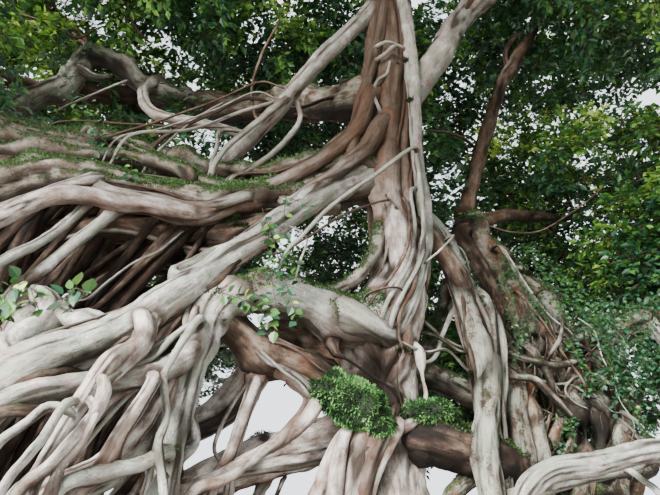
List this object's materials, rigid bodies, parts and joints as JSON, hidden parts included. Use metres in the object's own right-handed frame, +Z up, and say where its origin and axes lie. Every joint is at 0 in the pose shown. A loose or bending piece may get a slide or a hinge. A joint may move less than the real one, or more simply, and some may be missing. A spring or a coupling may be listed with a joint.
{
  "type": "banyan tree",
  "caption": "Old banyan tree: a slender main stem on a lattice of fused aerial roots, a second trunk, spreading boughs and a broad leafy crown.",
  "frame": {"origin": "middle of the flat cut under the main trunk, at ground level", "axes": "+Z up; +X towards the second trunk; -Y towards the viewer of the picture; the long shelf of roots runs towards -X"},
  "size_m": [19.9376, 18.2604, 14.3303],
  "materials": {
    "smooth_bark": "smooth pinkish beige bark with grey lichen",
    "pale_bark": "pale grey-beige bark of the aerial roots, with small dark knots",
    "brown_bark": "rough red-brown shaded bark",
    "mossy_bark": "grey-brown bark under moss",
    "leaves": "glossy dark green fig leaves with yellow-green sunlit sprays"
  },
  "bodies": {
    "root": {"trunk": "smooth_bark", "second_trunk": "mossy_bark", "right_pillar": "pale_bark", "heel_arm": "smooth_bark", "curved_prop_root": "pale_bark", "shelf_root_top": "mossy_bark", "shelf_root_middle": "mossy_bark", "left_pillar": "pale_bark", "shelf_root_lip": "smooth_bark", "shelf_root_under": "brown_bark", "straight_root_left": "pale_bark", "straight_root_far": "pale_bark", "diagonal_root": "pale_bark", "cross_root": "pale_bark", "fan_root_one": "smooth_bark", "fan_root_two": "smooth_bark", "fan_root_three": "pale_bark", "under_heel_limb": "brown_bark", "fork_root_left": "smooth_bark", "fork_root_right": "smooth_bark", "slab_root": "smooth_bark", "pale_slab_root": "smooth_bark", "pillar_root_left": "smooth_bark", "pillar_root_right": "smooth_bark", "low_cross_limb": "mossy_bark", "second_strand": "pale_bark", "low_right_bough": "brown_bark", "far_pillar": "brown_bark", "ground_root": "pale_bark", "clinging_root": "pale_bark", "descending_bough": "pale_bark", "right_bough": "smooth_bark", "slender_bough": "brown_bark", "back_left_bough": "brown_bark", "far_left_bough": "brown_bark", "crown_left_bough": "brown_bark", "crown_back_bough": "brown_bark", "crown_front_bough": "brown_bark", "front_left_bough": "brown_bark", "front_right_bough": "brown_bark", "right_back_bough": "brown_bark", "back_bough": "brown_bark", "left_back_bough": "brown_bark", "low_back_bough": "brown_bark", "foliage_crown_top": "leaves", "foliage_crown_left": "leaves", "foliage_crown_back": "leaves", "foliage_crown_right": "leaves", "foliage_crown_front": "leaves", "foliage_right": "leaves", "foliage_right_back": "leaves", "foliage_back": "leaves", "foliage_left_back": "leaves", "foliage_upper_left": "leaves", "foliage_left": "leaves", "foliage_left_front": "leaves", "foliage_front_left": "leaves", "foliage_front_right": "leaves", "foliage_low_back": "leaves", "foliage_low_right": "leaves"}
  },
  "joints": []
}
